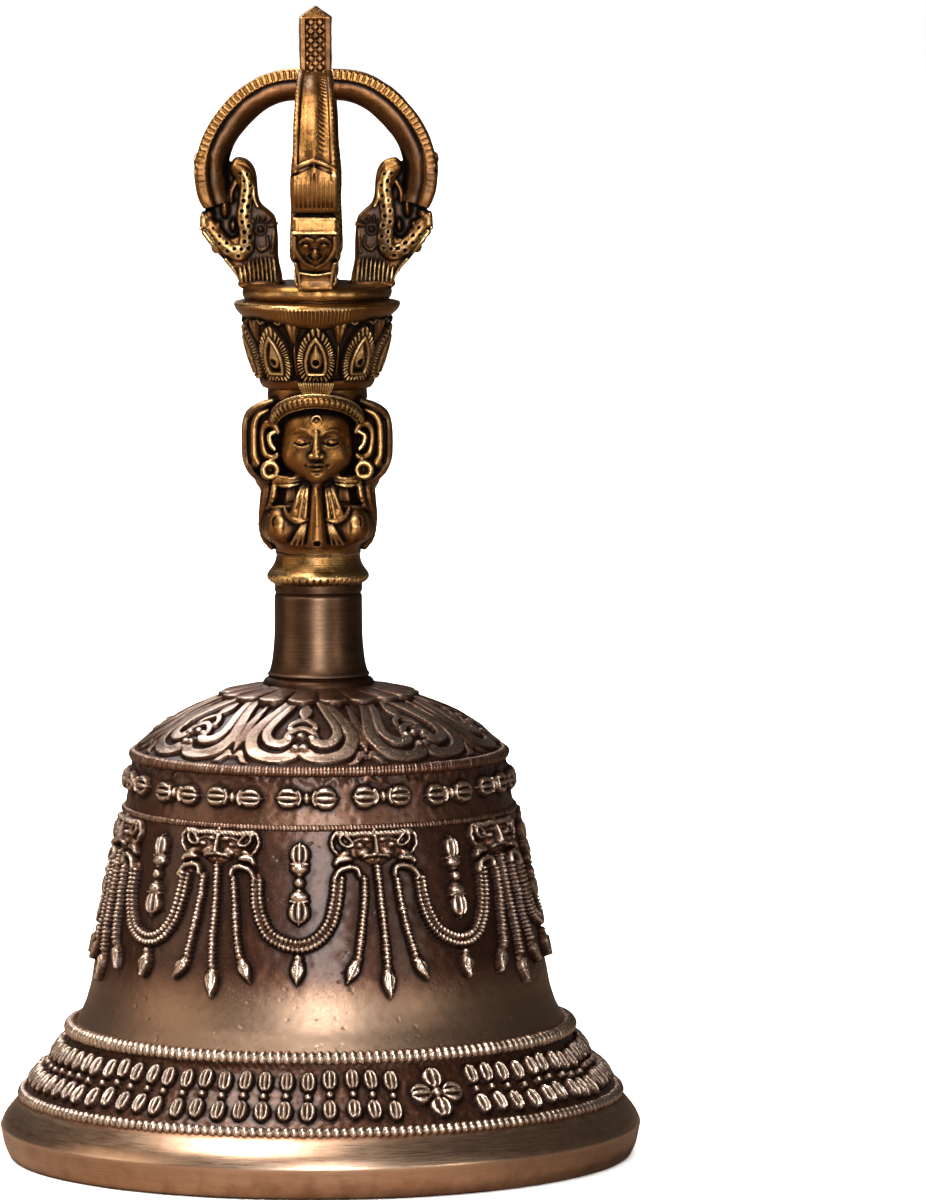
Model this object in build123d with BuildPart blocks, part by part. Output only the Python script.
"""Tibetan hand bell: bronze bell, turned neck sleeve, brass figure handle, half-vajra of four prongs round a square centre prong,
tie rod with its washer and nut, and a clapper hung on a link. Millimetres, +Z up, origin at the centre of the lip's resting plane."""

import math
import os

from build123d import *

os.makedirs("parts", exist_ok=True)

# ---- driving dimensions -------------------------------------------------
HEIGHT = 172.5            # lip to the point of the centre prong
LIP_R = 48.2              # widest radius, at the sharp edge of the lip
LIP_EDGE_Z = 4.7
LIP_FOOT_R = 46.8         # outer radius of the flat foot of the lip
LIP_INNER_R = 43.0
CROWN_Z = 71.2            # flat seat of the neck sleeve on the bell
CROWN_INNER_Z = 67.6      # flat inside the crown, under the washer
ROD_R = 3.0               # tie rod
ROD_HOLE_R = 3.05
SLEEVE_R = 6.6
SLEEVE_FOOT_R = 8.1
SLEEVE_BORE_R = 4.4
SLEEVE_TOP_Z = 86.2
HANDLE_TOP_Z = 131.0      # flat top of the handle casting, where the prongs stand
BAR = 4.8                 # side of the square centre prong
SOCKET_DEPTH = 3.0
PRONG_W = 6.4             # tangential width of one outer prong
NUT_SIDE = 10.0
NUT_T = 3.6
WASHER_R = 7.2
WASHER_T = 1.2
EYE_R, EYE_WIRE = 3.8, 1.3        # eye of the tie rod, its plane is XZ
LINK_R, LINK_WIRE = 4.4, 1.1      # clapper link, its plane is YZ
CLAP_EYE_R, CLAP_EYE_WIRE = 3.4, 1.2
GAP = 0.3                          # play between the hung pieces
BALL_R = 6.2
BALL_Z = 8.4

NUT_BOTTOM = CROWN_INNER_Z - WASHER_T - NUT_T
EYE_Z = NUT_BOTTOM - 4.9
EYE_BAR_Z = EYE_Z - EYE_R
LINK_TOP_Z = EYE_BAR_Z + EYE_WIRE + GAP + LINK_WIRE
LINK_Z = LINK_TOP_Z - LINK_R
PIVOT_Z = LINK_Z - LINK_R
CLAP_EYE_TOP = PIVOT_Z + LINK_WIRE + GAP + CLAP_EYE_WIRE
CLAP_EYE_Z = CLAP_EYE_TOP - CLAP_EYE_R

# radius and height pairs of the bell's outside, lip edge to shoulder corner, then over the shoulder
WALL = [(45.3, 8.6), (43.8, 10.8), (41.0, 14.4), (38.1, 18.1), (36.2, 21.4), (35.1, 24.5), (34.1, 29.0), (32.9, 35.0),
        (31.6, 41.0), (30.4, 47.2), (29.2, 53.3), (28.2, 60.0)]
SHOULDER = [(28.2, 60.0), (26.1, 62.2), (23.9, 64.2), (21.0, 66.1), (17.7, 67.9), (12.8, 69.6), (9.0, 70.6)]
# inside, lip to the flat of the crown
INSIDE = [(LIP_INNER_R, 0.0), (42.7, 4.7), (41.0, 9.2), (38.2, 13.6), (35.6, 17.6), (33.4, 21.4), (32.0, 25.4), (30.9, 31.0),
          (29.2, 39.0), (27.5, 47.0), (26.0, 54.0)]
DOME = [(26.0, 54.0), (24.6, 58.6), (21.0, 62.6), (15.6, 65.8), (9.4, CROWN_INNER_Z)]


def save(builder, name):
    builder.part.label = name
    export_step(builder.part, f"parts/{name}.step")


# ---- bell ---------------------------------------------------------------
with BuildPart() as bell_shell:
    with BuildSketch(Plane.XZ):
        with BuildLine():
            Line((LIP_INNER_R, 0), (LIP_FOOT_R, 0))
            ThreePointArc((LIP_FOOT_R, 0), (47.75, 2.3), (LIP_R, LIP_EDGE_Z))
            ThreePointArc((LIP_R, LIP_EDGE_Z), (47.0, 7.0), WALL[0])
            Spline(*WALL)
            Spline(*SHOULDER)
            Line(SHOULDER[-1], (9.0, CROWN_Z))
            Line((9.0, CROWN_Z), (ROD_HOLE_R, CROWN_Z))
            Line((ROD_HOLE_R, CROWN_Z), (ROD_HOLE_R, CROWN_INNER_Z))
            Line((ROD_HOLE_R, CROWN_INNER_Z), DOME[-1])
            Spline(*DOME)
            Spline(*INSIDE)
        make_face()
    revolve(axis=Axis.Z)
    # raised cords that divide the ornament
    for ring_r, ring_z, cord in ((37.3, 19.5, 1.25), (44.9, 9.7, 0.85), (29.3, 52.5, 0.55), (27.9, 60.6, 0.75)):
        with BuildSketch(Plane.XZ):
            with Locations((ring_r, ring_z)):
                Circle(cord)
        revolve(axis=Axis.Z)
save(bell_shell, "bell_shell")

# ---- neck sleeve --------------------------------------------------------
with BuildPart() as neck_sleeve:
    with BuildSketch(Plane.XZ):
        with BuildLine():
            Polyline((SLEEVE_BORE_R, CROWN_Z), (SLEEVE_FOOT_R, CROWN_Z), (SLEEVE_FOOT_R, CROWN_Z + 1.0), (7.55, CROWN_Z + 1.45))
            ThreePointArc((7.55, CROWN_Z + 1.45), (6.95, CROWN_Z + 3.2), (SLEEVE_R, CROWN_Z + 6.4))
            Polyline((SLEEVE_R, CROWN_Z + 6.4), (SLEEVE_R, SLEEVE_TOP_Z), (SLEEVE_BORE_R, SLEEVE_TOP_Z), (SLEEVE_BORE_R, CROWN_Z))
        make_face()
    revolve(axis=Axis.Z)
save(neck_sleeve, "neck_sleeve")

# ---- handle casting: collar, vase, head, crown and ring in one piece ----
with BuildPart() as figure_handle:
    with BuildSketch(Plane.XZ):
        with BuildLine():
            Polyline((0, 82.2), (SLEEVE_BORE_R - 0.05, 82.2), (SLEEVE_BORE_R - 0.05, SLEEVE_TOP_Z), (7.0, SLEEVE_TOP_Z), (7.6, 87.1))
            Spline((7.6, 87.1), (6.7, 88.9), (6.3, 90.2), (6.7, 91.0))
            Spline((6.7, 91.0), (8.2, 93.2), (8.7, 96.0), (8.2, 98.8), (7.0, 101.2))
            Line((7.0, 101.2), (7.0, 113.8))
            Spline((7.0, 113.8), (8.0, 116.2), (9.4, 119.5), (10.9, 123.6), (11.4, 126.0))
            Polyline((11.4, 126.0), (12.3, 127.0), (12.3, 127.9), (11.0, 128.7))
            ThreePointArc((11.0, 128.7), (11.3, 129.8), (10.8, HANDLE_TOP_Z))
            Polyline((10.8, HANDLE_TOP_Z), (0, HANDLE_TOP_Z), (0, 82.2))
        make_face()
    revolve(axis=Axis.Z)
    # head with its hair, wider than deep
    with BuildSketch(Plane.XY.offset(101.2)):
        Ellipse(8.6, 7.0)
    with BuildSketch(Plane.XY.offset(104.4)):
        Ellipse(11.2, 8.2)
    with BuildSketch(Plane.XY.offset(111.0)):
        Ellipse(11.4, 8.4)
    with BuildSketch(Plane.XY.offset(114.4)):
        Ellipse(8.2, 7.6)
    loft(ruled=True)
    # face, an egg in front of the hair
    with Locations((0, -5.2, 107.6)):
        Sphere(5.2)
    # tapped hole for the tie rod, and the square socket of the centre prong
    with Locations((0, 0, 82.2)):
        Cylinder(ROD_R + 0.02, 15.0, align=(Align.CENTER, Align.CENTER, Align.MIN), mode=Mode.SUBTRACT)
    with Locations((0, 0, HANDLE_TOP_Z - SOCKET_DEPTH)):
        Box(BAR + 0.06, BAR + 0.06, SOCKET_DEPTH, align=(Align.CENTER, Align.CENTER, Align.MIN), mode=Mode.SUBTRACT)
save(figure_handle, "figure_handle")

# ---- outer prongs: sea-monster head at the root, arc curling in to the centre prong ----
HEAD = [(5.6, HANDLE_TOP_Z), (11.2, HANDLE_TOP_Z), (11.9, 133.2), (14.4, 136.2), (16.9, 139.6), (17.2, 142.2), (17.9, 144.6)]
ARC_TOP = (BAR / 2, 162.3)
with BuildPart() as prong:
    with BuildSketch(Plane.XZ):
        with BuildLine():
            Polyline(*HEAD)
            Spline(HEAD[-1], (17.95, 147.5), (17.4, 151.8), (15.7, 155.9), (12.6, 159.6), (8.6, 161.6), ARC_TOP)
            Line(ARC_TOP, (BAR / 2, 158.5))
            Spline((BAR / 2, 158.5), (5.4, 158.1), (8.6, 156.8), (11.2, 154.0), (12.4, 150.9))
            Polyline((12.4, 150.9), (12.0, 148.6), (9.4, 147.6), (8.6, 144.9), (8.5, 142.6), (6.2, 139.4), (5.6, 136.0), HEAD[0])
        make_face()
    extrude(amount=PRONG_W / 2, both=True)
    # each prong keeps to its own quarter, so that the four meet along 45 degree faces
    with BuildSketch(Plane.XY.offset(120)):
        with BuildLine():
            Polyline((0, 0), (30, 30), (-30, 30), (-30, -30), (30, -30), (0, 0))
        make_face()
    extrude(amount=60, mode=Mode.SUBTRACT)
    fillet(prong.edges().filter_by(Axis.Y).group_by(SortBy.LENGTH)[-1].filter_by(lambda e: 145.5 < e.center().Z < 149.5), 0.6)

for prong_name, turn in (("prong_right", 0), ("prong_back", 90), ("prong_left", 180), ("prong_front", 270)):
    turned = prong.part.rotate(Axis.Z, turn)
    turned.label = prong_name
    export_step(turned, f"parts/{prong_name}.step")

# ---- centre prong -------------------------------------------------------
with BuildPart() as centre_prong:
    with BuildSketch(Plane.XY.offset(HANDLE_TOP_Z - SOCKET_DEPTH)):
        Rectangle(BAR, BAR)
    extrude(amount=HEIGHT - 1.3 - (HANDLE_TOP_Z - SOCKET_DEPTH))
    with BuildSketch(Plane.XY.offset(HEIGHT - 1.3)):
        Rectangle(BAR, BAR)
    with BuildSketch(Plane.XY.offset(HEIGHT)):
        Rectangle(0.5, 0.5)
    loft()
save(centre_prong, "centre_prong")

# ---- tie rod with its eye, washer, square nut ---------------------------
with BuildPart() as tie_rod:
    with Locations((0, 0, EYE_Z + EYE_R - 0.6)):
        Cylinder(ROD_R, 96.4 - (EYE_Z + EYE_R - 0.6), align=(Align.CENTER, Align.CENTER, Align.MIN))
    with BuildSketch(Plane.XY.offset(EYE_Z)):
        with Locations((EYE_R, 0)):
            Circle(EYE_WIRE)
    revolve(axis=Axis((0, 0, EYE_Z), (0, 1, 0)))
save(tie_rod, "tie_rod")

with BuildPart() as crown_washer:
    with BuildSketch(Plane.XY.offset(CROWN_INNER_Z - WASHER_T)):
        Circle(WASHER_R)
        Circle(ROD_R + 0.1, mode=Mode.SUBTRACT)
    extrude(amount=WASHER_T)
save(crown_washer, "crown_washer")

with BuildPart() as lock_nut:
    with BuildSketch(Plane.XY.offset(NUT_BOTTOM)):
        RectangleRounded(NUT_SIDE, NUT_SIDE, 0.8)
        Circle(ROD_R + 0.02, mode=Mode.SUBTRACT)
    extrude(amount=NUT_T)
save(lock_nut, "lock_nut")

# ---- clapper link and clapper -------------------------------------------
with BuildPart() as clapper_link:
    with BuildSketch(Plane.XY.offset(LINK_Z)):
        with Locations((0, LINK_R)):
            Circle(LINK_WIRE)
    revolve(axis=Axis((0, 0, LINK_Z), (1, 0, 0)))
save(clapper_link, "clapper_link")

with BuildPart() as clapper:
    with BuildSketch(Plane.XZ):
        with BuildLine():
            Polyline((0, CLAP_EYE_Z - CLAP_EYE_R + 0.2), (1.7, CLAP_EYE_Z - CLAP_EYE_R + 0.2), (2.2, 40.6), (2.0, 38.6), (2.4, 16.9), (3.3, 16.2), (3.3, 15.2), (2.7, 14.4))
            Line((2.7, 14.4), (BALL_R * math.sin(math.radians(26)), BALL_Z + BALL_R * math.cos(math.radians(26))))
            ThreePointArc((BALL_R * math.sin(math.radians(26)), BALL_Z + BALL_R * math.cos(math.radians(26))), (BALL_R, BALL_Z), (0, BALL_Z - BALL_R))
            Line((0, BALL_Z - BALL_R), (0, CLAP_EYE_Z - CLAP_EYE_R + 0.2))
        make_face()
    revolve(axis=Axis.Z)
    with BuildSketch(Plane.XY.offset(CLAP_EYE_Z)):
        with Locations((CLAP_EYE_R, 0)):
            Circle(CLAP_EYE_WIRE)
    revolve(axis=Axis((0, 0, CLAP_EYE_Z), (0, 1, 0)))
save(clapper, "clapper")

print("pivot", PIVOT_Z, "eye bar", EYE_BAR_Z, "eye", EYE_Z, "link", LINK_Z, "clapper eye", CLAP_EYE_Z, "nut bottom", NUT_BOTTOM)
